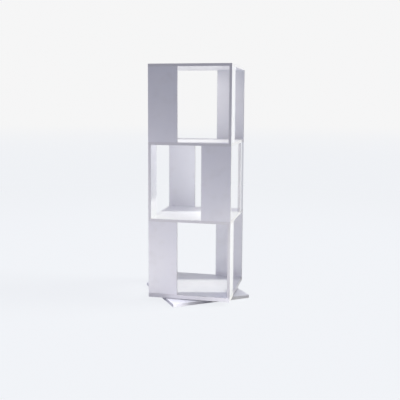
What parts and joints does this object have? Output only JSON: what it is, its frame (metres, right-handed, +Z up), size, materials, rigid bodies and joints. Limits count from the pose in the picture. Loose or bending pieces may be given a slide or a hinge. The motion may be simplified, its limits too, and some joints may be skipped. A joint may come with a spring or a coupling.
{
  "type": "revolving bookcase",
  "caption": "Tall square open bookcase of white boards whose tiers have staggered upright panels, turning freely on a flat square base plate.",
  "frame": {"origin": "on the floor, on the axis that the tower turns about", "axes": "+Z up along the turning axis, -Y out of the tower's front face, +X to the right seen from the front; the base plate stands turned 35 degrees about +Z at rest, its middle 6 mm to -X of the axis"},
  "size_m": [0.5146, 0.5146, 1.056],
  "materials": {
    "white_lacquer": "satin white lacquer on fibreboard",
    "race_steel": "turned, zinc plated",
    "ball_steel": "polished",
    "cage_nylon": "moulded",
    "screw_zinc": "bright zinc",
    "dowel_beech": "plain beech",
    "cap_plastic": "moulded satin",
    "glide_nylon": "moulded"
  },
  "bodies": {
    "base": {"base_plate": "white_lacquer", "floor_glides": "glide_nylon", "outer_race": "race_steel", "outer_race_screws": "screw_zinc"},
    "ball_ring": {"ball_cage": "cage_nylon", "bearing_balls": "ball_steel"},
    "tower": {"bottom_board": "white_lacquer", "lower_shelf": "white_lacquer", "upper_shelf": "white_lacquer", "top_board": "white_lacquer", "lower_front_panel": "white_lacquer", "lower_back_panel": "white_lacquer", "lower_right_panel": "white_lacquer", "lower_left_panel": "white_lacquer", "middle_front_panel": "white_lacquer", "middle_back_panel": "white_lacquer", "middle_right_panel": "white_lacquer", "middle_left_panel": "white_lacquer", "upper_front_panel": "white_lacquer", "upper_back_panel": "white_lacquer", "upper_right_panel": "white_lacquer", "upper_left_panel": "white_lacquer", "inner_race": "race_steel", "inner_race_screws": "screw_zinc", "lower_tier_screws": "screw_zinc", "middle_tier_screws": "screw_zinc", "upper_tier_screws": "screw_zinc", "lower_tier_dowels": "dowel_beech", "middle_tier_dowels": "dowel_beech", "upper_tier_dowels": "dowel_beech", "lower_tier_caps": "cap_plastic", "middle_tier_caps": "cap_plastic", "upper_tier_caps": "cap_plastic"}
  },
  "joints": [
    {"name": "tower_spin", "type": "hinge", "parent": "base", "child": "tower", "pos_m": [0, 0, 0.0195], "axis": [0, 0, 1], "continuous": true},
    {"name": "ball_ring_spin", "type": "hinge", "parent": "base", "child": "ball_ring", "pos_m": [0, 0, 0.0195], "axis": [0, 0, 1], "continuous": true}
  ],
  "couplings": [
    {"joint": "ball_ring_spin", "follows": "tower_spin", "ratio": 0.4861}
  ]
}
